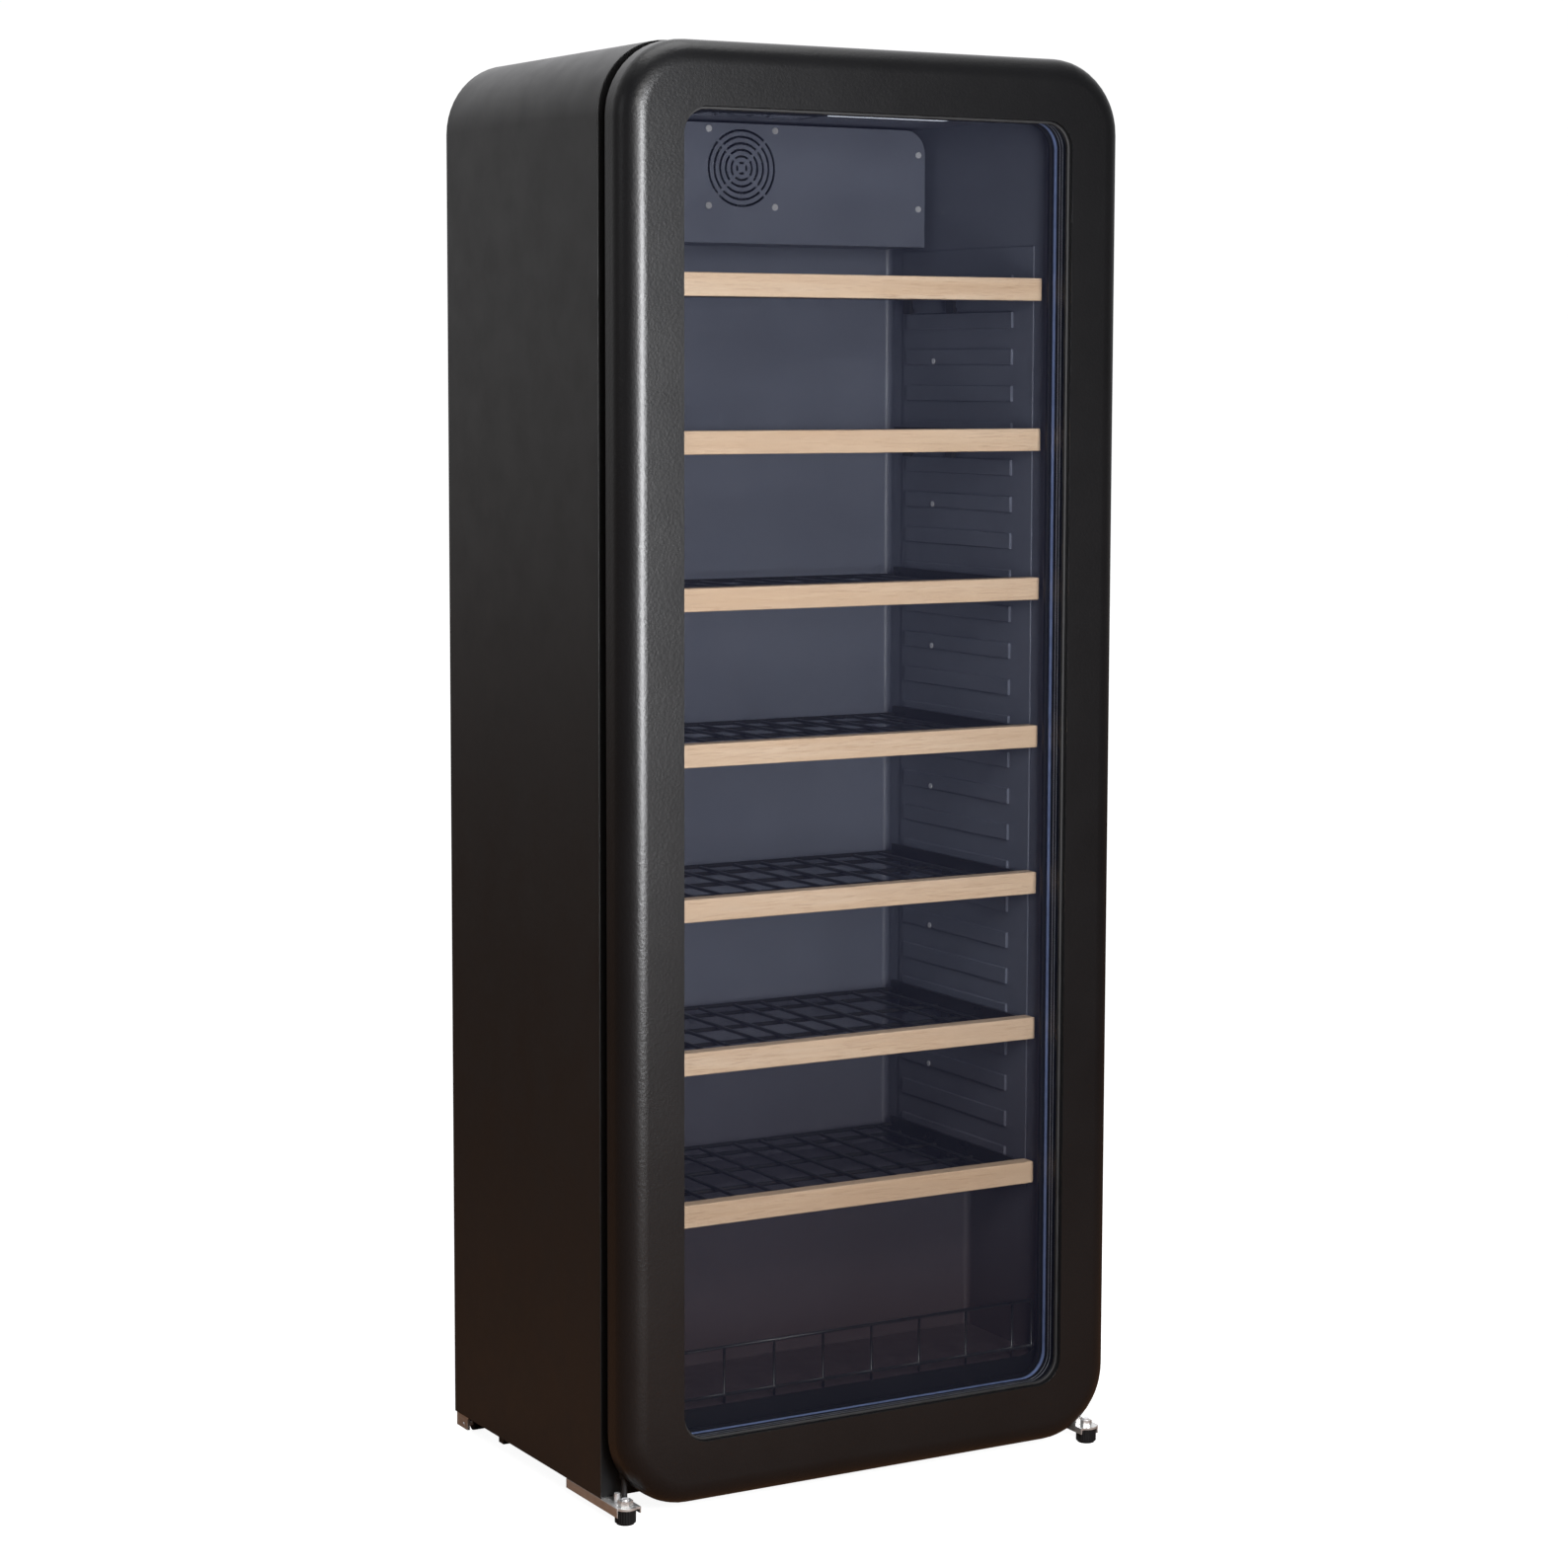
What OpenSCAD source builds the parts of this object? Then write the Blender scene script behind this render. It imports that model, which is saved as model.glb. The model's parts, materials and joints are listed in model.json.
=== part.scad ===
// Tall free-standing wine cooler with a glass door, seven sliding shelves and a fan panel.
// Millimetres. Z up, front towards -Y, origin at the bottom centre of the bounding box.

/* [Cabinet] */
// Height of the datum plane above the floor; every other height is measured from this plane
datum_z = 2; // [0:0.5:10]
// Overall width of cabinet and door
width = 595; // [500:1:700]
// Overall depth from door front to back panel
depth = 416; // [380:1:620]
// Height of the cabinet top above the datum plane
cab_top = 1497.5; // [900:0.5:1900]
// Height of the cabinet underside above the datum plane
cab_bottom = 16.5; // [10:0.5:60]
// Y distance from the door's front face to the cabinet's front edge
cab_front = 58; // [50:0.5:80]
// Radius of the cabinet's two top corners
cab_r = 77; // [10:1:120]
// Thickness of the steel wrap
shell_t = 1.5; // [0.8:0.1:3]

/* [Door] */
// Thickness of the door without its gasket
door_t = 45; // [30:1:70]
// Height of the door's lower edge above the datum plane
door_bottom = 11.5; // [8:0.5:60]
// Height of the door's upper edge above the datum plane
door_top = 1496; // [900:0.5:1900]
// Radius of the door's four corners
door_r = 78; // [20:1:120]
// Radius of the door's soft front edge
door_fillet = 26; // [4:1:40]
// Half width of the window
win_x = 231; // [150:1:260]
// Height of the window's lower edge
win_bottom = 79; // [60:1:200]
// Height of the window's upper edge
win_top = 1430; // [800:1:1700]
// Radius of the window's corners
win_r = 28; // [5:1:60]

/* [Hinge and feet] */
// X of the door's pivot
pivot_x = -281; // [-290:1:-250]
// Y distance of the pivot behind the door's front face
pivot_y = 37; // [33:1:38]
// Radius of the hinge pin
pin_r = 3; // [2:0.5:4]
// X of the levelling feet, to each side of the middle
foot_x = 285.1; // [270:0.1:286]
// Y of the levelling feet
foot_y = 27; // [20:1:40]
// Radius of a foot's threaded stud
stud_r = 4; // [3:0.5:5]
// Radius of a levelling foot
foot_r = 11; // [8:0.1:11]

/* [Inside] */
// Half width of the space inside
in_x = 243; // [180:1:270]
// Height of the inner floor
in_floor = 95; // [60:1:200]
// Height of the inner ceiling
in_top = 1440; // [800:1:1700]
// Y of the inner back wall
in_back = 384; // [300:1:560]
// Y of the compressor hump's front face
hump_y = 204; // [150:1:450]
// Height of the compressor hump's top
hump_top = 272; // [180:1:320]
// Height of the highest shelf's upper face
shelf_top = 1269; // [600:1:1600]
// Distance between shelves
shelf_pitch = 160; // [100:1:250]
// Height of a wooden shelf front
shelf_h = 24; // [15:1:40]
// Number of ribs on each side wall
rib_count = 25; // [4:1:26]
// Centre height of the circulation fan
fan_z = 1389; // [800:1:1600]

/* [Hidden] */
$fn = 48;
hx = width / 2;
y_off = -depth / 2;
rib_z = shelf_top + 5;
screw_rows = 6;
frame_t = door_t - 4;

// Moves a piece from door-front coordinates into the shared frame.
module place() { translate([0, y_off, datum_z]) children(); }

// Box between two corners.
module bx(x0, x1, y0, y1, z0, z1) { translate([x0, y0, z0]) cube([x1 - x0, y1 - y0, z1 - z0]); }

// Rounded rectangle, all four corners.
module rr(x0, x1, z0, z1, r) {
  translate([x0 + r, z0]) square([x1 - x0 - 2 * r, z1 - z0]);
  translate([x0, z0 + r]) square([x1 - x0, z1 - z0 - 2 * r]);
  translate([x0 + r, z0 + r]) circle(r);
  translate([x1 - r, z0 + r]) circle(r);
  translate([x0 + r, z1 - r]) circle(r);
  translate([x1 - r, z1 - r]) circle(r);
}

// Rectangle with only its two top corners rounded.
module arch(x0, x1, z0, z1, r) {
  translate([x0, z0]) square([x1 - x0, z1 - z0 - r]);
  translate([x0 + r, z0]) square([x1 - x0 - 2 * r, z1 - z0]);
  translate([x0 + r, z1 - r]) circle(r);
  translate([x1 - r, z1 - r]) circle(r);
}

// Extrudes an XZ outline between two Y planes.
module along_y(y0, y1) { rotate([90, 0, 0]) translate([0, 0, -y1]) linear_extrude(y1 - y0) children(); }

// Cylinder along X, Y or Z.
module cyx(x0, x1, y, z, r) { translate([x0, y, z]) rotate([0, 90, 0]) cylinder(r = r, h = x1 - x0); }
module cyy(x, y0, y1, z, r) { translate([x, y1, z]) rotate([90, 0, 0]) cylinder(r = r, h = y1 - y0); }
module cyz(x, y, z0, z1, r) { translate([x, y, z0]) cylinder(r = r, h = z1 - z0); }

// ---------- cabinet ----------
module outer_shell() {
  color([0.07, 0.07, 0.075]) place() along_y(cab_front, depth) difference() {
    arch(-hx, hx, cab_bottom, cab_top, cab_r);
    arch(-hx + shell_t, hx - shell_t, cab_bottom - 1, cab_top - shell_t, cab_r - shell_t);
  }
}

module rear_panel() {
  color([0.08, 0.08, 0.085]) place() along_y(depth - 1.2, depth)
    arch(-hx + 1.6, hx - 1.6, 268, cab_top - 1.6, cab_r - 1.6);
}

module insulation_foam() {
  color([0.85, 0.78, 0.55]) place() difference() {
    along_y(60.2, depth - 1.3) arch(-hx + 1.7, hx - 1.7, 18.7, cab_top - 1.7, cab_r - 1.7);
    bx(-in_x - 2.1, in_x + 2.1, 59, in_back + 2.1, hump_top - 1.9, in_top + 2.1);
    bx(-in_x - 2.1, in_x + 2.1, 59, hump_y + 1.9, in_floor - 2.1, hump_top);
    bx(-in_x - 2.1, in_x + 2.1, hump_y + 1.8, hump_y + 2.1, in_floor - 2.1, hump_top);
    bx(-in_x - 2.1, in_x + 2.1, hump_y + 1.8, in_back + 2.1, hump_top - 2.1, hump_top);
    bx(-hx - 1, hx + 1, 214, depth + 1, 0, 266.2);
  }
}

// Plan of the space inside, with its two rear corners rounded.
module inside_plan(y1, r) {
  translate([-in_x, 59]) square([2 * in_x, y1 - r - 59]);
  translate([-in_x + r, 59]) square([2 * (in_x - r), y1 - 59]);
  translate([-in_x + r, y1 - r]) circle(r);
  translate([in_x - r, y1 - r]) circle(r);
}

module inner_liner() {
  color([0.36, 0.38, 0.42]) place() difference() {
    bx(-in_x - 2, in_x + 2, 60.1, in_back + 2, in_floor - 2, in_top + 2);
    translate([0, 0, hump_top]) linear_extrude(in_top - hump_top) inside_plan(in_back, 7);
    translate([0, 0, in_floor]) linear_extrude(hump_top + 1 - in_floor) inside_plan(hump_y, 7);
    bx(-in_x - 3, in_x + 3, hump_y + 2, in_back + 3, 0, hump_top - 2);
  }
}

module front_flange() {
  color([0.03, 0.03, 0.03]) place() along_y(cab_front, 60) difference() {
    arch(-hx + 1.6, hx - 1.6, cab_bottom + 2.1, cab_top - 1.6, cab_r - 1.6);
    rr(-in_x + 0.5, in_x - 0.5, in_floor + 0.5, in_top - 0.5, 24);
  }
}

// Ribbed wall panel; side is -1 for left and 1 for right.
module runner_panel(side) {
  place() mirror([side < 0 ? 1 : 0, 0, 0]) {
    difference() {
      union() {
        bx(in_x - 2, in_x - 0.1, 87, 352, hump_top + 4, 1304);
        for (i = [0:rib_count - 1])
          bx(in_x - 5, in_x - 1.5, 125, 340, rib_z - i * 40 - 17, rib_z - i * 40);
      }
      for (i = [0:screw_rows - 1]) cyx(in_x - 6, in_x, 281, rib_z - 93 - i * shelf_pitch, 1.8);
    }
  }
}

module left_runner_panel() { color([0.36, 0.38, 0.42]) runner_panel(-1); }
module right_runner_panel() { color([0.36, 0.38, 0.42]) runner_panel(1); }

module base_plate() {
  color([0.1, 0.1, 0.1]) place() {
    bx(-hx + 1.6, hx - 1.6, 60.2, depth - 3, cab_bottom, cab_bottom + 2);
    bx(-hx + 2.5, hx - 2.5, 296, 308, cab_bottom - 7, cab_bottom + 0.5);
  }
}

module compressor() {
  color([0.05, 0.05, 0.055]) place() translate([110, 316, 0]) {
    translate([0, 0, 34]) rotate_extrude() {
      translate([0, 22]) square([72, 86]);
      square([50, 130]);
      translate([50, 22]) circle(22);
      translate([50, 108]) circle(22);
    }
    bx(-96, 96, -60, -44, 32, 35);
    bx(-96, 96, 44, 60, 32, 35);
    bx(-30, 30, -60, 60, 32, 36);
    bx(-86, -66, -24, 24, 70, 120);
  }
}

module compressor_mounts() {
  color([0.03, 0.03, 0.03]) place() translate([110, 316, 0])
    for (x = [-86, 86]) for (y = [-52, 52])
      cyz(x, y, cab_bottom + 2.1, 31.9, 9);
}

module condenser() {
  color([0.06, 0.06, 0.065]) place() {
    for (i = [0:5])
      cyx(-262, -48, 386, 60 + i * 30, 2.5);
    for (i = [0:2])
      translate([-48, 386, 75 + i * 60]) rotate([90, 0, 0]) rotate([0, 0, -90])
        rotate_extrude(angle = 180) translate([15, 0]) circle(2.5);
    for (i = [0:1])
      translate([-262, 386, 105 + i * 60]) rotate([90, 0, 0]) rotate([0, 0, 90])
        rotate_extrude(angle = 180) translate([15, 0]) circle(2.5);
    for (i = [0:15])
      bx(-250 + i * 12.8, -248.4 + i * 12.8, 381.5, 384.5, 50, 220);
    for (x = [-255, -55])
      bx(x - 3, x + 3, 382, 390, cab_bottom + 2.1, 62);
  }
}

module rear_cover() {
  color([0.06, 0.06, 0.065]) place() difference() {
    bx(-290, 290, 413.6, 415.6, 24, 264);
    for (i = [0:10]) bx(-252, -52, 412, 417, 92 + i * 14, 97 + i * 14);
    for (i = [0:10]) bx(52, 252, 412, 417, 60 + i * 17, 65 + i * 17);
    bx(-259, -221, 412, 417, 42, 70);
    for (x = [-280, 0, 280]) for (z = [34, 254]) cyy(x, 412, 417, z, 2.2);
  }
}

module rear_cover_screws() {
  color([0.55, 0.55, 0.57]) place() for (x = [-280, 0, 280]) for (z = [34, 254]) {
    cyy(x, 404, 415.7, z, 1.9);
    difference() {
      cyy(x, 415.61, depth, z, 3.8);
      bx(x - 2.5, x + 2.5, 415.8, 417, z - 0.4, z + 0.4);
    }
  }
}

module power_inlet() {
  color([0.02, 0.02, 0.02]) place() difference() {
    union() {
      bx(-258.8, -221.2, 396, 415.9, 42.2, 69.8);
      bx(-262, -218, 411, 413.5, 39, 73);
    }
    bx(-253, -227, 400, 417, 47, 65);
  }
}

module evaporator() {
  color([0.7, 0.71, 0.72]) place() {
    for (i = [0:19])
      bx(-190 + i * 20, -189 + i * 20, 336, 376, 1318, 1430);
    for (y = [346, 366]) for (z = [1335, 1374, 1413])
      cyx(-205, 205, y, z, 4);
  }
}

module fan_cover() {
  color([0.38, 0.4, 0.44]) place() difference() {
    along_y(298, in_back - 0.2) arch(-235, 235, 1308, in_top - 3, 26);
    along_y(300, in_back + 1) arch(-233, 233, 1310, in_top - 5, 24);
    translate([0, 0, fan_z]) for (r = [7:7:42]) along_y(296, 302) difference() {
      circle(r);
      circle(r - 2.6);
      rotate(45) translate([-60, -1.6]) square([120, 3.2]);
      rotate(-45) translate([-60, -1.6]) square([120, 3.2]);
    }
    for (x = [-41.25, 41.25]) for (z = [-41.25, 41.25]) cyy(x, 296, 302, fan_z + z, 2.2);
    for (x = [-226, 226]) for (z = [-39, 21]) cyy(x, 296, 302, fan_z + z, 2);
    for (i = [0:11]) bx(-206 + i * 35.5, -184 + i * 35.5, 318, 322, 1306, 1312);
  }
}

// Screws of the fan cover and of the two ribbed wall panels.
module inner_screws() {
  color([0.75, 0.75, 0.77]) place() {
    for (s = [0, 1]) mirror([s, 0, 0]) for (i = [0:screw_rows - 1]) {
      cyx(in_x - 5.2, in_x - 0.2, 281, rib_z - 93 - i * shelf_pitch, 1.7);
      cyx(in_x - 6.2, in_x - 5.05, 281, rib_z - 93 - i * shelf_pitch, 3);
    }
    for (x = [-41.25, 41.25]) for (z = [-41.25, 41.25]) {
      cyy(x, 297.5, 312, fan_z + z, 2);
      cyy(x, 296.4, 297.9, fan_z + z, 3.6);
    }
    for (x = [-226, 226]) for (z = [-39, 21]) {
      cyy(x, 297.5, 304, fan_z + z, 1.8);
      cyy(x, 296.4, 297.9, fan_z + z, 3.4);
    }
  }
}

module fan_frame() {
  color([0.03, 0.03, 0.03]) place() difference() {
    union() {
      difference() {
        along_y(300.2, 325.2) translate([0, fan_z]) rr(-46, 46, -46, 46, 5);
        cyy(0, 299, 327, fan_z, 43.5);
      }
      bx(-44, 44, 322, 325, fan_z - 2.5, fan_z + 2.5);
      bx(-2.5, 2.5, 322, 325, fan_z - 44, fan_z + 44);
      cyy(0, 321, 325.2, fan_z, 19);
    }
    for (x = [-41.25, 41.25]) for (z = [-41.25, 41.25]) cyy(x, 299, 327, fan_z + z, 2.3);
    cyy(0, 319, 326, fan_z, 1.56);
  }
}

module fan_rotor() {
  color([0.05, 0.05, 0.05]) place() translate([0, 0, fan_z]) {
    cyy(0, 303, 320.4, 0, 18);
    cyy(0, 320, 324.5, 0, 1.5);
    for (i = [0:6]) rotate([0, i * 360 / 7, 0]) translate([15, 311.5, 0])
      rotate([38, 0, 0]) translate([0, -0.8, -9]) cube([26.5, 1.6, 18]);
  }
}

module light_strip() {
  color([0.95, 0.97, 1]) place() bx(-20, 122, 64, 82, 1431, 1439.9);
}

module control_panel() {
  color([0.03, 0.03, 0.03]) place() difference() {
    bx(-176, -30, 64, 118, 1430, 1439.9);
    bx(-166, -40, 70, 112, 1429, 1431.5);
  }
}

module control_display() {
  color([0.02, 0.02, 0.03]) place() bx(-165.8, -40.2, 70.2, 111.8, 1429.4, 1431.4);
}

module bottle_guard() {
  color([0.05, 0.05, 0.05]) place() {
    cyx(-236, 236, 63, 155, 1.8);
    cyx(-236, 236, 63, 104, 1.8);
    for (x = [-210:60:210]) cyz(x, 63, in_floor + 0.1, 155, 1.5);
    for (x = [-236, 236]) cyz(x, 63, in_floor + 0.1, 155, 1.8);
  }
}

// Front corner bracket; side is -1 for left and 1 for right.
module bracket(side) {
  place() mirror([side < 0 ? 1 : 0, 0, 0]) difference() {
    union() {
      bx(272, 297.5, foot_y, 138, 14, 16.4);
      cyz(foot_x, foot_y, 14, 16.4, 12.4);
      bx(290, 297.5, 22, 28, 14, 16.4);
      bx(272, 280, 17.5, 28, 14, 16.4);
      bx(272, 273.3, 17.5, 138, 9.5, 16.4);
      bx(296.3, 297.5, 22, 138, 6.5, 16.4);
    }
    cyz(foot_x, foot_y, 10, 20, stud_r + 0.2);
    cyz(-pivot_x, pivot_y, 10, 20, pin_r + 0.02);
    for (y = [82, 112]) cyz(284, y, 10, 20, 3.2);
  }
}

module lower_left_bracket() { color([0.55, 0.54, 0.53]) bracket(-1); }
module lower_right_bracket() { color([0.55, 0.54, 0.53]) bracket(1); }

module lower_hinge_pin() {
  color([0.1, 0.1, 0.11]) place() cyz(pivot_x, pivot_y, 14.1, 58, pin_r);
}

module door_stop_peg() {
  color([0.75, 0.75, 0.76]) place() cyz(pivot_x - 4.8, pivot_y + 6.8, 16.5, 25.3, 3.3);
}

module foot_studs() {
  color([0.75, 0.75, 0.76]) place() for (x = [-foot_x, foot_x]) difference() {
    cyz(x, foot_y, 3, 24, stud_r);
    bx(x - 5, x + 5, foot_y - 0.7, foot_y + 0.7, 22.5, 25);
  }
}

// Hexagonal bolt head or nut.
module hex(x, y, z0, h, r) { translate([x, y, z0]) rotate(30) cylinder(r = r, h = h, $fn = 6); }

// Nuts on the feet's studs, bolts of both brackets and a bolt in the unused right hinge hole.
module bracket_bolts() {
  color([0.6, 0.59, 0.58]) place() {
    difference() {
      hex(-foot_x, foot_y, 16.5, 6, 8);
      cyz(-foot_x, foot_y, 15, 24, stud_r + 0.05);
    }
    difference() {
      hex(foot_x, foot_y, 16.5, 6, 6.2);
      cyz(foot_x, foot_y, 15, 24, stud_r + 0.05);
    }
    hex(-pivot_x, pivot_y, 16.5, 6.8, 5);
    cyz(-pivot_x, pivot_y, 14.1, 17, pin_r);
    for (x = [-284, 284]) for (y = [82, 112]) {
      hex(x, y, 9.8, 4.1, 5.5);
      cyz(x, y, 13.5, 16.4, 3);
    }
  }
}

// Knurled levelling foot around a stud.
module foot(x) {
  place() translate([x, foot_y, 0]) difference() {
    union() {
      translate([0, 0, -datum_z + 2]) linear_extrude(datum_z + 11.4) difference() {
        circle(foot_r);
        for (i = [0:23]) rotate(i * 15) translate([foot_r + 0.35, 0]) circle(0.95, $fn = 16);
      }
      translate([0, 0, -datum_z]) cylinder(r1 = 9, r2 = 10.1, h = 2.1);
    }
    translate([0, 0, 2.6]) cylinder(r = stud_r + 0.05, h = 12);
  }
}

module front_left_foot() { color([0.03, 0.03, 0.03]) foot(-foot_x); }
module front_right_foot() { color([0.03, 0.03, 0.03]) foot(foot_x); }

module roller(x0) {
  place() difference() {
    cyx(x0, x0 + 14, 396, 5.8, 5.8 + datum_z);
    cyx(x0 - 1, x0 + 15, 396, 5.8, 2.55);
  }
}

module rear_left_roller() { color([0.03, 0.03, 0.03]) roller(-286); }
module rear_right_roller() { color([0.03, 0.03, 0.03]) roller(272); }

module roller_axles() {
  color([0.7, 0.7, 0.71]) place() {
    cyx(-296.4, -266.1, 396, 5.8, 2.5);
    cyx(266.1, 296.4, 396, 5.8, 2.5);
  }
}

module housing(side) {
  mirror([side < 0 ? 1 : 0, 0, 0]) difference() {
    union() {
      bx(266.2, 296.2, 384, 414, 14.4, 16.4);
      bx(266.2, 269, 386, 406, 1.6, 15);
      bx(293.2, 296.2, 386, 414, 1.6, 15);
    }
    cyx(260, 300, 396, 5.8, 2.52);
  }
}

module roller_housings() {
  color([0.6, 0.6, 0.6]) place() for (s = [-1, 1]) housing(s);
}

// Gooseneck arm: it leaves the door's back beside the pivot, so the door's side stays closed.
module top_hinge_bracket() {
  color([0.1, 0.1, 0.1]) place() difference() {
    union() {
      bx(pivot_x, pivot_x + 20.5, pivot_y - 4, pivot_y + 4, 1440, 1443);
      bx(pivot_x + 14.5, pivot_x + 20.5, pivot_y - 4, cab_front - 0.1, 1440, 1443);
      cyz(pivot_x, pivot_y, 1440, 1443, 6.5);
      bx(pivot_x + 9, pivot_x + 20.7, cab_front - 3.1, cab_front - 0.1, 1405, 1443);
    }
    for (z = [1412, 1426]) cyy(pivot_x + 15, 53, 59, z, 2);
    cyz(pivot_x, pivot_y, 1439, 1444, pin_r + 0.02);
  }
}

module top_hinge_pin() {
  color([0.75, 0.75, 0.76]) place() cyz(pivot_x, pivot_y, 1412, 1443, pin_r);
}

// ---------- door ----------
// Half profile of the door's thickness, from a corner centre outwards.
module edge_profile() {
  square([door_r - door_fillet, frame_t]);
  translate([0, door_fillet]) square([door_r, frame_t - door_fillet]);
  intersection() {
    translate([door_r - door_fillet, door_fillet]) circle(door_fillet);
    square([door_r + 1, door_fillet]);
  }
}

module door_corner(x, z, a) {
  translate([x, 0, z]) rotate([90, 0, 0]) mirror([0, 0, 1]) rotate([0, 0, a])
    rotate_extrude(angle = 90) edge_profile();
}

module door_slab() {
  x1 = hx - door_r;
  z0 = door_bottom + door_r;
  z1 = door_top - door_r;
  door_corner(x1, z1, 0);
  door_corner(-x1, z1, 90);
  door_corner(-x1, z0, 180);
  door_corner(x1, z0, 270);
  translate([0, 0, z0]) linear_extrude(z1 - z0) {
    translate([x1, 0]) edge_profile();
    mirror([1, 0]) translate([x1, 0]) edge_profile();
    translate([-x1, 0]) square([2 * x1, frame_t]);
  }
  translate([-x1, 0, 0]) rotate([90, 0, 90]) linear_extrude(2 * x1) {
    translate([0, z1]) rotate(90) mirror([0, 1]) edge_profile();
    translate([0, z0]) rotate(-90) edge_profile();
  }
}

module door_frame() {
  color([0.07, 0.07, 0.075]) place() difference() {
    door_slab();
    along_y(-1, 10) rr(-win_x, win_x, win_bottom, win_top, win_r);
    along_y(9, door_t + 1) rr(-win_x - 12, win_x + 12, win_bottom - 12, win_top + 12, win_r + 12);
    cyz(pivot_x, pivot_y, 0, 64, 5.1);
    cyz(pivot_x, pivot_y, 1408, 1439.2, 5.1);
    bx(pivot_x - 8, pivot_x + 22, pivot_y - 7, door_t + 1, 1439, 1444);
    bx(hx - 11, hx + 1, 28, door_t, 760, 940);
  }
}

module door_inner_frame() {
  color([0.03, 0.03, 0.03]) place() difference() {
    along_y(41.1, door_t) rr(-hx + 1.5, hx - 1.5, door_bottom + 1.5, door_top - 1.5, door_r - 1.5);
    along_y(40, door_t + 1) rr(-win_x + 1, win_x - 1, win_bottom + 1, win_top - 1, win_r - 1);
    cyz(pivot_x, pivot_y, 0, 64, 5.1);
    cyz(pivot_x, pivot_y, 1408, 1439.2, 5.1);
    bx(pivot_x - 8, pivot_x + 22, pivot_y - 7, door_t + 1, 1439, 1444);
    bx(hx - 11, hx + 1, 28, door_t + 1, 760, 940);
    along_y(43.5, door_t + 1) difference() {
      rr(-256.5, 256.5, door_bottom + 41, door_top - 41, 37);
      rr(-248.5, 248.5, door_bottom + 49, door_top - 49, 29);
    }
  }
}

module outer_glass() {
  color([0.2, 0.22, 0.27, 0.35]) place() along_y(9.4, 13.4)
    rr(-win_x - 11.6, win_x + 11.6, win_bottom - 11.6, win_top + 11.6, win_r + 11.6);
}

module inner_glass() {
  color([0.2, 0.22, 0.27, 0.35]) place() along_y(36.9, 40.9)
    rr(-win_x - 11.6, win_x + 11.6, win_bottom - 11.6, win_top + 11.6, win_r + 11.6);
}

module glass_spacer() {
  color([0.1, 0.1, 0.11]) place() along_y(13.5, 36.8) difference() {
    rr(-win_x - 9, win_x + 9, win_bottom - 9, win_top + 9, win_r + 9);
    rr(-win_x - 0.5, win_x + 0.5, win_bottom - 0.5, win_top + 0.5, win_r + 0.5);
  }
}

module glazing_trim() {
  color([0.02, 0.02, 0.02]) place() along_y(5, 9.3) difference() {
    rr(-win_x + 0.1, win_x - 0.1, win_bottom + 0.1, win_top - 0.1, win_r - 0.1);
    rr(-win_x + 3, win_x - 3, win_bottom + 3, win_top - 3, win_r - 3);
  }
}

module door_gasket() {
  color([0.02, 0.02, 0.02]) place() difference() {
    union() {
      along_y(43.6, 50) rr(-256.3, 256.3, door_bottom + 41.2, door_top - 41.2, 36.8);
      along_y(49, cab_front - 0.1) rr(-259.5, 259.5, door_bottom + 38, door_top - 38, 40);
    }
    along_y(43, 49.5) rr(-248.7, 248.7, door_bottom + 48.8, door_top - 48.8, 29.2);
    along_y(49, 59) rr(-245.5, 245.5, door_bottom + 52, door_top - 52, 26);
  }
}

module hinge_bush_lower() {
  color([0.02, 0.02, 0.02]) place() difference() {
    cyz(pivot_x, pivot_y, 42, 63.8, 5);
    cyz(pivot_x, pivot_y, 41, 60, pin_r + 0.05);
  }
}

module hinge_bush_upper() {
  color([0.02, 0.02, 0.02]) place() difference() {
    cyz(pivot_x, pivot_y, 1408.2, 1438.9, 5);
    cyz(pivot_x, pivot_y, 1411, 1440, pin_r + 0.05);
  }
}

// ---------- shelves ----------
module shelf_front(n) {
  z = shelf_top - (n - 1) * shelf_pitch;
  color([0.8, 0.68, 0.52]) place() difference() {
    bx(-239, 239, 67, 85, z - shelf_h, z);
    bx(-236.2, -231.8, 80, 86, z - 20, z - 2);
    bx(231.8, 236.2, 80, 86, z - 20, z - 2);
  }
}

module shelf_rack(n) {
  z = shelf_top - (n - 1) * shelf_pitch;
  color([0.04, 0.04, 0.045]) place() {
    for (s = [-1, 1]) {
      bx(s > 0 ? 232 : -236, s > 0 ? 236 : -232, 80.5, 356, z - 19.8, z - 2.2);
      for (y = [240, 330]) {
        bx(s > 0 ? 232 : -236, s > 0 ? 236 : -232, y - 7, y + 7, z - 35.2, z - 18);
        cyx(s > 0 ? 234 : -240.5, s > 0 ? 240.5 : -234, y, z - 31.4, 3.1);
      }
    }
    for (y = [104, 180, 256, 332]) cyx(-234, 234, y, z - 17, 2.5);
    cyx(-234, 234, 354, z - 12, 2.5);
    for (k = [0:5]) for (o = [-17, 17])
      cyy(-196.25 + 78.5 * k + o, 85.3, 356, z - 12.8, 2);
  }
}

module shelf_1_front() { shelf_front(1); }
module shelf_2_front() { shelf_front(2); }
module shelf_3_front() { shelf_front(3); }
module shelf_4_front() { shelf_front(4); }
module shelf_5_front() { shelf_front(5); }
module shelf_6_front() { shelf_front(6); }
module shelf_7_front() { shelf_front(7); }
module shelf_1_rack() { shelf_rack(1); }
module shelf_2_rack() { shelf_rack(2); }
module shelf_3_rack() { shelf_rack(3); }
module shelf_4_rack() { shelf_rack(4); }
module shelf_5_rack() { shelf_rack(5); }
module shelf_6_rack() { shelf_rack(6); }
module shelf_7_rack() { shelf_rack(7); }

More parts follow.
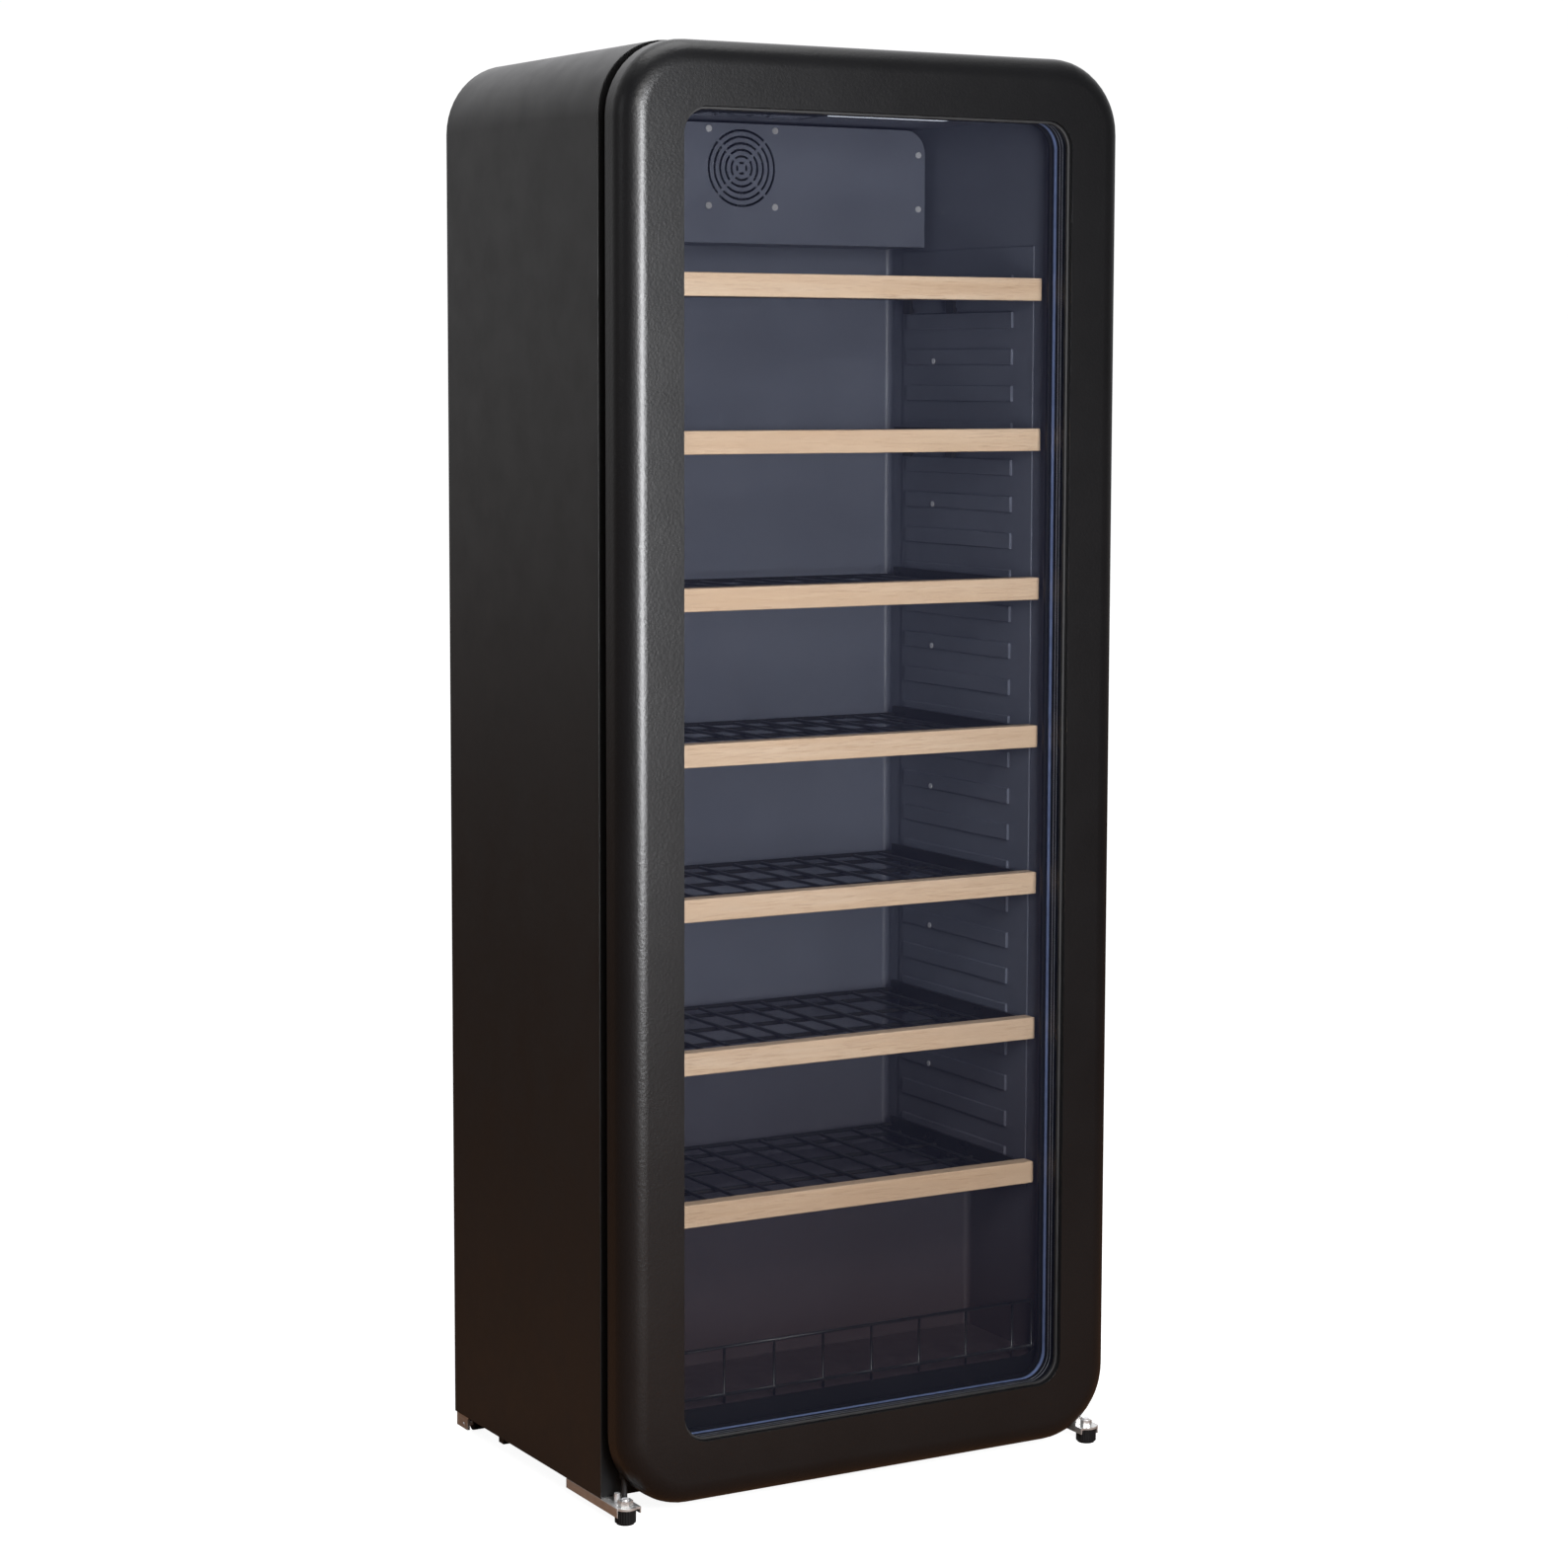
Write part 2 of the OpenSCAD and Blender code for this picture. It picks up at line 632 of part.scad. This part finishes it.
outer_shell();
rear_panel();
insulation_foam();
inner_liner();
front_flange();
left_runner_panel();
right_runner_panel();
base_plate();
compressor();
compressor_mounts();
condenser();
rear_cover();
rear_cover_screws();
power_inlet();
evaporator();
fan_cover();
inner_screws();
fan_frame();
fan_rotor();
light_strip();
control_panel();
control_display();
bottle_guard();
lower_left_bracket();
lower_right_bracket();
lower_hinge_pin();
door_stop_peg();
foot_studs();
bracket_bolts();
front_left_foot();
front_right_foot();
rear_left_roller();
rear_right_roller();
roller_axles();
roller_housings();
top_hinge_bracket();
top_hinge_pin();
door_frame();
door_inner_frame();
outer_glass();
inner_glass();
glass_spacer();
glazing_trim();
door_gasket();
hinge_bush_lower();
hinge_bush_upper();
shelf_1_front();
shelf_1_rack();
shelf_2_front();
shelf_2_rack();
shelf_3_front();
shelf_3_rack();
shelf_4_front();
shelf_4_rack();
shelf_5_front();
shelf_5_rack();
shelf_6_front();
shelf_6_rack();
shelf_7_front();
shelf_7_rack();
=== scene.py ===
import json
import math

import bmesh
import bpy
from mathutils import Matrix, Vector

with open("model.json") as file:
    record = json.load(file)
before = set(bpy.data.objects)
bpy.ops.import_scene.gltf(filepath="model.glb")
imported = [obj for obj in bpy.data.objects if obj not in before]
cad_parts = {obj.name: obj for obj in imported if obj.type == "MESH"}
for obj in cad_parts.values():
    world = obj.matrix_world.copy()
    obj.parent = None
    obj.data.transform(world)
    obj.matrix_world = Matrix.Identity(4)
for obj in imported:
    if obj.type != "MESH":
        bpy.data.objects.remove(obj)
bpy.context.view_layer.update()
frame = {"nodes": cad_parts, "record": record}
nodes = frame["nodes"]

MM = 0.001
SHELVES = 7

# Most of a noise texture's values lie between these two.
NOISE_LOW, NOISE_HIGH = 0.3, 0.7

# Shading breaks above the first angle and edges above the second are rounded.
SHARP_ANGLE = math.radians(28)
ROUND_ANGLE = math.radians(35)
WELD_DISTANCE = 0.00001

# Heights in metres between which the liner's painted shade, dark brown at the bottom, gives way to
# its own blue-grey.
LINER_SHADE_DARKEST_BELOW, LINER_SHADE_ENDS_ABOVE = 0.12, 0.50

# Depths in metres at which the spacer between the panes starts and ends.
SPACER_FRONT, SPACER_BACK = -0.1945, -0.1712

CAMERA_AT = (-1.90184, -3.31637, 1.17305)
CAMERA_LENS, CAMERA_SENSOR = 81.45, 36.0
CAMERA_SHIFT_Y = -0.034
CAMERA_CLIP = 0.05
YAW, PITCH, ROLL = math.radians(29.86), math.radians(5.81), math.radians(-0.15)

FLOOR_RADIUS, FLOOR_SEGMENTS = 14, 96
# The floor's paint gives way to plain white light between these distances from its centre.
FLOOR_FADE_START, FLOOR_FADE_END = 0.9, 2.6
FLOOR_GLOW_NEAR, FLOOR_GLOW_FAR = 0.93, 1.02
FLOOR_BOUNCE = (0.19, 0.095, 0.05, 1)

SEEN_WHITE = 1.02
# Direction towards the white backdrop, and the reach of a ray's dot product with it.
BACKDROP_DIRECTION, BACKDROP_REACH = (0.3, 1.0, 0.5), 1.2
BACKDROP_STOPS = (
    (0.0, (0.030, 0.030, 0.033)),
    (0.42, (0.05, 0.05, 0.053)),
    (0.70, (0.20, 0.20, 0.205)),
    (0.80, (0.38, 0.38, 0.385)),
    (0.88, (0.58, 0.58, 0.59)),
    (0.97, (1.2, 1.2, 1.22)),
)


# ---------------------------------------------------------------- node helpers
def fill_ramp(ramp, stops):
    """Give a colour ramp exactly these stops; a plain number stands for a grey."""
    while len(ramp.elements) > len(stops):
        ramp.elements.remove(ramp.elements[-1])
    while len(ramp.elements) < len(stops):
        ramp.elements.new(1.0)
    for element, (at, value) in zip(ramp.elements, stops):
        grey = not isinstance(value, (tuple, list))
        element.position = at
        element.color = (value, value, value, 1) if grey else tuple(value) + (1,)


class Graph:
    """A small helper around one material's node tree."""

    def __init__(self, name):
        self.mat = bpy.data.materials.new(name)
        self.mat.use_nodes = True
        self.tree = self.mat.node_tree
        self.bsdf = self.tree.nodes["Principled BSDF"]
        self.coord = self.tree.nodes.new("ShaderNodeTexCoord").outputs["Object"]

    def put(self, socket, value):
        """Link a socket to another, or give it a constant."""
        if isinstance(value, bpy.types.NodeSocket):
            self.tree.links.new(value, socket)
        else:
            socket.default_value = value

    def node(self, kind, **sockets):
        n = self.tree.nodes.new(kind)
        for key, value in sockets.items():
            self.put(n.inputs[key.replace("_", " ")], value)
        return n

    def set(self, **sockets):
        """Set or link the shader's own sockets."""
        for key, value in sockets.items():
            self.put(self.bsdf.inputs[key.replace("_", " ")], value)

    def stretch(self, x=1.0, y=1.0, z=1.0, shift=(0, 0, 0)):
        m = self.tree.nodes.new("ShaderNodeMapping")
        self.tree.links.new(self.coord, m.inputs["Vector"])
        m.inputs["Scale"].default_value = (x, y, z)
        m.inputs["Location"].default_value = shift
        return m.outputs["Vector"]

    def noise(self, scale, detail=2.0, rough=0.5, vector=None, distortion=0.0):
        n = self.node("ShaderNodeTexNoise", Scale=scale, Detail=detail,
                      Roughness=rough, Distortion=distortion)
        self.tree.links.new(vector or self.coord, n.inputs["Vector"])
        return n.outputs["Fac"]

    def voronoi(self, scale, vector=None):
        n = self.node("ShaderNodeTexVoronoi", Scale=scale)
        self.tree.links.new(vector or self.coord, n.inputs["Vector"])
        return n.outputs["Distance"]

    def axis(self, letter):
        """One object coordinate in metres."""
        split = self.tree.nodes.new("ShaderNodeSeparateXYZ")
        self.tree.links.new(self.coord, split.inputs[0])
        return split.outputs[letter]

    def ramp(self, fac, *stops):
        n = self.tree.nodes.new("ShaderNodeValToRGB")
        self.tree.links.new(fac, n.inputs["Fac"])
        fill_ramp(n.color_ramp, stops)
        return n.outputs["Color"]

    def range(self, fac, low, high, from_low=0.0, from_high=1.0):
        n = self.node("ShaderNodeMapRange", Value=fac)
        n.inputs["From Min"].default_value = from_low
        n.inputs["From Max"].default_value = from_high
        n.inputs["To Min"].default_value = low
        n.inputs["To Max"].default_value = high
        return n.outputs["Result"]

    def tint(self, noise, low, high):
        """A colour that follows a noise."""
        return self.ramp(noise, (NOISE_LOW, low), (NOISE_HIGH, high))

    def spread(self, noise, low, high):
        """A number that follows a noise."""
        return self.range(noise, low, high, NOISE_LOW, NOISE_HIGH)

    def math(self, op, a, b):
        n = self.tree.nodes.new("ShaderNodeMath")
        n.operation = op
        self.put(n.inputs[0], a)
        self.put(n.inputs[1], b)
        return n.outputs[0]

    def blend(self, a, share_a, b, share_b):
        """Two noises added by their shares."""
        return self.math("ADD", self.math("MULTIPLY", a, share_a), self.math("MULTIPLY", b, share_b))

    def mix(self, fac, a, b):
        """Colour a turning into colour b."""
        n = self.tree.nodes.new("ShaderNodeMix")
        n.data_type = "RGBA"
        self.put(n.inputs["Factor"], fac)
        for socket, value in ((n.inputs[6], a), (n.inputs[7], b)):
            if isinstance(value, (tuple, list)) and len(value) == 3:
                value = tuple(value) + (1,)
            self.put(socket, value)
        return n.outputs[2]

    def bump(self, height, strength, distance, normal=None):
        n = self.node("ShaderNodeBump", Strength=strength, Distance=distance, Height=height)
        if normal is not None:
            self.tree.links.new(normal, n.inputs["Normal"])
        return n.outputs["Normal"]


# ---------------------------------------------------------------- materials
def painted(name, low, high, rough=(0.36, 0.46), grain=1.0, peel=1.0, scale=1100):
    """Coated surface: near-black colour with a fine grain over a slow orange peel."""
    g = Graph(name)
    broad = g.noise(6, 3, 0.55)
    fine = g.noise(scale, 2, 0.6)
    cells = g.voronoi(scale * 0.62)
    worn = g.noise(23, 4, 0.6)
    slow = g.bump(g.noise(75, 2, 0.5), 0.05 * peel, 0.0008)
    height = g.math("ADD", fine, g.math("MULTIPLY", cells, 0.8))
    g.set(Base_Color=g.tint(g.blend(broad, 0.6, fine, 0.4), low, high))
    g.set(Roughness=g.spread(g.blend(worn, 0.7, fine, 0.3), *rough))
    g.set(Normal=g.bump(height, 0.22 * grain, 0.00012, slow))
    g.set(IOR=1.5)
    return g.mat


def plastic(name, low, high, rough, scale=500, bump=0.12, ior=1.48):
    """Moulded plastic with a faint mould texture and soft colour drift."""
    g = Graph(name)
    drift = g.noise(9, 3, 0.5)
    fine = g.noise(scale, 3, 0.6)
    g.set(Base_Color=g.tint(g.blend(drift, 0.75, fine, 0.25), low, high))
    g.set(Roughness=g.spread(g.noise(90, 3, 0.6), *rough))
    g.set(Normal=g.bump(fine, bump, 0.00015))
    g.set(IOR=ior)
    return g.mat


def liner(name):
    """Blue-grey liner plastic with painted shade: its colour darkens and browns towards the bottom.
    """
    g = Graph(name)
    drift = g.noise(9, 3, 0.5)
    fine = g.noise(420, 3, 0.6)
    tone = g.tint(g.blend(drift, 0.75, fine, 0.25), (0.112, 0.123, 0.160), (0.136, 0.149, 0.192))
    # Painted shade: this height mask darkens and browns the liner's colour towards the bottom.
    low = g.range(g.axis("Z"), 1.0, 0.0, LINER_SHADE_DARKEST_BELOW, LINER_SHADE_ENDS_ABOVE)
    slow = g.bump(g.noise(40, 2, 0.5), 0.04, 0.0006)
    # The dark brown mixed in here is painted shade, not a colour of the liner itself.
    g.set(Base_Color=g.mix(low, tone, (0.050, 0.036, 0.038)))
    g.set(Roughness=g.spread(g.noise(31, 3, 0.6), 0.36, 0.48))
    g.set(Normal=g.bump(fine, 0.10, 0.00015, slow))
    return g.mat


def spacer(name):
    """Black spacer between the panes: two pale hairlines, and a blue strip beside the inner pane."""
    g = Graph(name)
    depth = g.range(g.axis("Y"), 0.0, 1.0, SPACER_FRONT, SPACER_BACK)
    black, pale, blue = (0.003, 0.003, 0.004), (0.34, 0.36, 0.40), (0.17, 0.23, 0.42)
    bands = g.ramp(
        depth, (0.0, black),
        (0.24, black), (0.27, pale), (0.31, black),
        (0.44, black), (0.47, pale), (0.51, black),
        (0.70, black), (0.76, blue), (0.88, blue), (1.0, black))
    cloud = g.noise(90, 3, 0.5)
    g.set(Base_Color=g.mix(g.range(cloud, 0.0, 0.2, 0.35, 0.7), bands, black))
    g.set(Roughness=g.spread(cloud, 0.30, 0.42))
    g.set(Specular_IOR_Level=0.15)
    g.set(Normal=g.bump(g.noise(300, 2, 0.6), 0.05, 0.0001))
    return g.mat


def rubber(name):
    """Soft black rubber with dust in its fine texture."""
    g = Graph(name)
    fine = g.noise(700, 3, 0.6)
    dust = g.noise(45, 4, 0.65)
    g.set(Base_Color=g.ramp(dust, (0.35, (0.006, 0.006, 0.0065)), (0.75, (0.013, 0.013, 0.014))))
    g.set(Roughness=g.spread(dust, 0.55, 0.75))
    g.set(Normal=g.bump(fine, 0.18, 0.0001))
    return g.mat


def metal(name, low, high, rough, along, metallic=1.0):
    """Plated metal with fine drawn streaks along one axis and cloudy patches."""
    g = Graph(name)
    squeeze = {"X": (0.06, 1, 1), "Y": (1, 0.06, 1), "Z": (1, 1, 0.06)}[along]
    streak = g.noise(420, 2, 0.5, g.stretch(*squeeze))
    cloud = g.noise(60, 3, 0.6)
    g.set(Base_Color=g.tint(g.blend(streak, 0.45, cloud, 0.55), low, high))
    g.set(Metallic=metallic)
    g.set(Roughness=g.spread(cloud, *rough))
    g.set(Normal=g.bump(streak, 0.05, 0.0001))
    return g.mat


def beech(name):
    """Steamed beech: pale tan, slow flowing grain, short dark flecks and an occasional knot."""
    g = Graph(name)
    bend = g.noise(4.0, 2, 0.5, g.stretch(1.0, 3.0, 3.0))
    flow = g.noise(38, 4, 0.62, g.stretch(0.07, 1.0, 1.0), 0.9)
    lines = g.noise(210, 3, 0.6, g.stretch(0.035, 1.0, 1.0), 0.4)
    flecks = g.noise(520, 1, 0.4, g.stretch(0.09, 1.0, 1.4))
    knots = g.voronoi(9.0, g.stretch(1.0, 1.0, 2.4, (0.3, 0.0, 0.11)))
    tone = g.ramp(flow, (0.30, (0.77, 0.54, 0.345)), (0.52, (0.865, 0.64, 0.435)),
                  (0.74, (0.93, 0.74, 0.55)))
    tone = g.mix(g.ramp(lines, (0.42, 0.0), (0.62, 0.55)), tone, (0.74, 0.52, 0.34))
    tone = g.mix(g.ramp(flecks, (0.60, 0.0), (0.68, 0.5)), tone, (0.55, 0.36, 0.22))
    tone = g.mix(g.ramp(knots, (0.022, 0.55), (0.05, 0.0)), tone, (0.36, 0.22, 0.12))
    tone = g.mix(g.range(bend, 0.0, 0.35, 0.35, 0.7), tone, (0.89, 0.685, 0.49))
    g.set(Base_Color=tone)
    g.set(Roughness=g.spread(lines, 0.42, 0.58))
    g.set(Normal=g.bump(lines, 0.10, 0.0002, g.bump(flecks, 0.05, 0.0001)))
    return g.mat


def glass(name):
    """A smoke-tinted pane: a thin blue-grey veil with a faint gloss and wipe marks."""
    g = Graph(name)
    wipe = g.noise(3.2, 4, 0.6, g.stretch(1.0, 1.0, 0.35), 0.6)
    dust = g.noise(260, 2, 0.6)
    g.set(Base_Color=g.ramp(wipe, (0.3, (0.006, 0.007, 0.014)), (0.75, (0.012, 0.013, 0.024))))
    g.set(Roughness=g.range(wipe, 0.015, 0.05, 0.3, 0.75))
    g.set(Alpha=0.13)
    g.set(Normal=g.bump(dust, 0.004, 0.00005))
    g.set(IOR=1.3, Specular_IOR_Level=0.1)
    return g.mat


def lit(name):
    """Frosted diffuser with a cool glow of its own."""
    g = Graph(name)
    glow = g.noise(220, 2, 0.5)
    g.set(Base_Color=g.tint(glow, (0.80, 0.83, 0.88), (0.90, 0.92, 0.96)))
    g.set(Roughness=g.spread(glow, 0.4, 0.55))
    g.set(Emission_Color=(0.80, 0.88, 1.0, 1), Emission_Strength=0.8)
    return g.mat


def foam(name):
    """Pale yellow foam with open cells."""
    g = Graph(name)
    cells = g.voronoi(420)
    g.set(Base_Color=g.ramp(cells, (0.2, (0.70, 0.58, 0.33)), (0.7, (0.86, 0.76, 0.50))))
    g.set(Roughness=g.range(cells, 0.8, 0.95))
    g.set(Normal=g.bump(cells, 0.5, 0.0006))
    return g.mat


SURFACES = (
    ("black_paint", painted, dict(low=(0.0095, 0.0095, 0.0102), high=(0.0150, 0.0150, 0.0158))),
    ("dark_steel", painted, dict(low=(0.006, 0.006, 0.007), high=(0.012, 0.012, 0.013),
                                 rough=(0.50, 0.60), grain=0.7, peel=1.2, scale=700)),
    ("black_enamel", painted, dict(low=(0.008, 0.008, 0.009), high=(0.016, 0.016, 0.017),
                                   rough=(0.18, 0.3), grain=0.25, peel=2.0, scale=300)),
    ("wire_black", painted, dict(low=(0.010, 0.010, 0.011), high=(0.022, 0.022, 0.023),
                                 rough=(0.25, 0.36), grain=0.5, peel=1.0, scale=900)),
    ("door_black", painted, dict(low=(0.0028, 0.0028, 0.0032), high=(0.0048, 0.0048, 0.0053),
                                 rough=(0.335, 0.365), grain=4.0, peel=1.2, scale=480)),
    ("black_plastic", plastic, dict(low=(0.0030, 0.0030, 0.0034), high=(0.0060, 0.0060, 0.0066),
                                    rough=(0.57, 0.63), ior=1.35)),
    ("display_black", plastic, dict(low=(0.004, 0.004, 0.006), high=(0.008, 0.008, 0.010),
                                    rough=(0.05, 0.10), scale=200, bump=0.01)),
    ("aluminium_fin", metal, dict(low=(0.62, 0.63, 0.64), high=(0.80, 0.81, 0.82),
                                  rough=(0.25, 0.4), along="Z")),
    ("zinc_steel", metal, dict(low=(0.60, 0.595, 0.59), high=(0.80, 0.795, 0.785),
                               rough=(0.30, 0.44), along="Y", metallic=0.8)),
    ("steel_bright", metal, dict(low=(0.76, 0.76, 0.77), high=(0.92, 0.92, 0.93),
                                 rough=(0.28, 0.40), along="Z", metallic=0.65)),
    ("liner_grey", liner, {}),
    ("spacer_black", spacer, {}),
    ("rubber_black", rubber, {}),
    ("smoked_glass", glass, {}),
    ("beech", beech, {}),
    ("led_diffuser", lit, {}),
    ("foam", foam, {}),
)
by_slot = {slot: make(slot, **look) for slot, make, look in SURFACES}
slots = {s["node"]: s["material_slot"] for s in frame["record"]["subparts"]}
for name, obj in nodes.items():
    obj.data.materials.clear()
    obj.data.materials.append(by_slot[slots[name]])

# ---------------------------------------------------------------- edges
# Rounding width in millimetres, segments, and the nodes that get it.
EDGES = (
    (0.2, 2, "control_display"),
    (0.3, 2, "rear_panel rear_cover rear_cover_screws foot_studs outer_glass inner_glass "
             "fan_rotor top_hinge_pin"),
    (0.35, 2, "bracket_bolts"),
    (0.4, 2, "front_flange lower_left_bracket lower_right_bracket front_left_foot "
             "front_right_foot base_plate roller_housings top_hinge_bracket fan_frame "
             "lower_hinge_pin glass_spacer"),
    (0.5, 2, "outer_shell inner_liner door_stop_peg hinge_bush_lower hinge_bush_upper "
             "power_inlet"),
    (0.6, 2, "door_inner_frame control_panel"),
    (0.8, 2, "compressor"),
    (0.8, 3, "glazing_trim left_runner_panel right_runner_panel rear_left_roller "
             "rear_right_roller"),
    (0.9, 3, "fan_cover inner_screws"),
    (1.0, 2, "compressor_mounts"),
    (1.0, 3, "light_strip"),
    (2.0, 4, "door_gasket"),
    (2.4, 5, "door_frame"),
)
rounding = {name: (width, segments) for width, segments, names in EDGES for name in names.split()}
for k in range(1, SHELVES + 1):
    rounding[f"shelf_{k}_front"] = (1.3, 4)
    rounding[f"shelf_{k}_rack"] = (0.4, 2)

for name, obj in nodes.items():
    obj.data.set_sharp_from_angle(angle=SHARP_ANGLE)
    for poly in obj.data.polygons:
        poly.use_smooth = True
    weld = obj.modifiers.new("weld", "WELD")
    weld.merge_threshold = WELD_DISTANCE
    if name in rounding:
        width, segments = rounding[name]
        bevel = obj.modifiers.new("edge", "BEVEL")
        bevel.width = width * MM
        bevel.segments = segments
        bevel.limit_method = "ANGLE"
        bevel.angle_limit = ROUND_ANGLE
        bevel.use_clamp_overlap = True
        bevel.harden_normals = False
        obj.modifiers.new("normals", "WEIGHTED_NORMAL").keep_sharp = False

# ---------------------------------------------------------------- camera
camera_data = bpy.data.cameras.new("camera")
camera = bpy.data.objects.new("camera", camera_data)
bpy.context.scene.collection.objects.link(camera)
camera_data.sensor_width = CAMERA_SENSOR
camera_data.lens = CAMERA_LENS
camera_data.shift_y = CAMERA_SHIFT_Y
camera_data.clip_start = CAMERA_CLIP
camera.location = CAMERA_AT
camera.rotation_mode = "XYZ"
camera.rotation_euler = (math.pi / 2 - PITCH, ROLL, -YAW)
bpy.context.scene.camera = camera

# ---------------------------------------------------------------- floor
floor_mesh = bpy.data.meshes.new("floor")
bm = bmesh.new()
bmesh.ops.create_circle(bm, cap_ends=True, segments=FLOOR_SEGMENTS, radius=FLOOR_RADIUS)
bm.to_mesh(floor_mesh)
bm.free()
floor = bpy.data.objects.new("floor", floor_mesh)
bpy.context.scene.collection.objects.link(floor)

g = Graph("pale_floor")
far = g.node("ShaderNodeVectorMath")
far.operation = "LENGTH"
g.tree.links.new(g.coord, far.inputs[0])
fade = g.range(far.outputs["Value"], 0.0, 1.0, FLOOR_FADE_START, FLOOR_FADE_END)
paint = g.tint(g.noise(5, 3, 0.5), (0.42, 0.415, 0.41), (0.46, 0.455, 0.45))
g.set(Base_Color=g.mix(fade, paint, (0.0, 0.0, 0.0)))
g.set(Roughness=g.range(g.noise(40, 3, 0.5), 0.7, 0.85))
g.set(Emission_Color=(1, 1, 1, 1))
g.set(Emission_Strength=g.range(fade, FLOOR_GLOW_NEAR, FLOOR_GLOW_FAR))
# To reflections the floor is a warm, darker surface, as a studio floor is beside a lit backdrop.
path = g.tree.nodes.new("ShaderNodeLightPath")
bounce = g.node("ShaderNodeBsdfDiffuse", Color=FLOOR_BOUNCE)
pick = g.tree.nodes.new("ShaderNodeMixShader")
out = g.tree.nodes["Material Output"]
g.tree.links.new(path.outputs["Is Camera Ray"], pick.inputs["Fac"])
g.tree.links.new(bounce.outputs["BSDF"], pick.inputs[1])
g.tree.links.new(g.bsdf.outputs["BSDF"], pick.inputs[2])
g.tree.links.new(pick.outputs["Shader"], out.inputs["Surface"])
floor_mesh.materials.append(g.mat)

# ---------------------------------------------------------------- surroundings
world = bpy.data.worlds.new("studio")
bpy.context.scene.world = world
world.use_nodes = True
tree = world.node_tree
tree.nodes.clear()
w_out = tree.nodes.new("ShaderNodeOutputWorld")
w_mix = tree.nodes.new("ShaderNodeMixShader")
w_path = tree.nodes.new("ShaderNodeLightPath")
seen = tree.nodes.new("ShaderNodeBackground")
seen.inputs["Color"].default_value = (1, 1, 1, 1)
seen.inputs["Strength"].default_value = SEEN_WHITE
# Brightness rises towards the white backdrop behind the cooler and above it.
room = tree.nodes.new("ShaderNodeBackground")
w_coord = tree.nodes.new("ShaderNodeTexCoord")
w_dot = tree.nodes.new("ShaderNodeVectorMath")
w_dot.operation = "DOT_PRODUCT"
w_dot.inputs[1].default_value = BACKDROP_DIRECTION
w_map = tree.nodes.new("ShaderNodeMapRange")
w_map.inputs["From Min"].default_value = -BACKDROP_REACH
w_map.inputs["From Max"].default_value = BACKDROP_REACH
w_ramp = tree.nodes.new("ShaderNodeValToRGB")
fill_ramp(w_ramp.color_ramp, BACKDROP_STOPS)
tree.links.new(w_coord.outputs["Generated"], w_dot.inputs[0])
tree.links.new(w_dot.outputs["Value"], w_map.inputs["Value"])
tree.links.new(w_map.outputs["Result"], w_ramp.inputs["Fac"])
tree.links.new(w_ramp.outputs["Color"], room.inputs["Color"])
tree.links.new(w_path.outputs["Is Camera Ray"], w_mix.inputs["Fac"])
tree.links.new(room.outputs["Background"], w_mix.inputs[1])
tree.links.new(seen.outputs["Background"], w_mix.inputs[2])
tree.links.new(w_mix.outputs["Shader"], w_out.inputs["Surface"])


# ---------------------------------------------------------------- lights
def area(name, at, to, size, power, colour=(1, 1, 1)):
    """A rectangular light at one point, facing another."""
    data = bpy.data.lights.new(name, "AREA")
    data.shape = "RECTANGLE"
    data.size, data.size_y = size
    data.energy = power
    data.color = colour
    obj = bpy.data.objects.new(name, data)
    bpy.context.scene.collection.objects.link(obj)
    obj.location = at
    obj.rotation_euler = (Vector(to) - Vector(at)).to_track_quat("-Z", "Y").to_euler()
    obj.visible_camera = False


area("key", (-0.28, -1.56, 1.06), (-0.2, -0.2, 1.0), (0.40, 1.15), 52, (0.97, 0.98, 1.0))
area("front", (-1.3, -3.6, 2.4), (0.0, -0.2, 0.7), (1.6, 1.6), 40, (1.0, 0.99, 0.97))
area("left", (-3.1, 0.0, 2.0), (-0.3, -0.2, 1.3), (0.7, 1.1), 3, (0.98, 0.98, 1.0))
area("top", (0.0, 0.1, 3.6), (0.0, 0.1, 0.0), (2.0, 1.6), 25)

bpy.context.scene.view_settings.view_transform = "Standard"
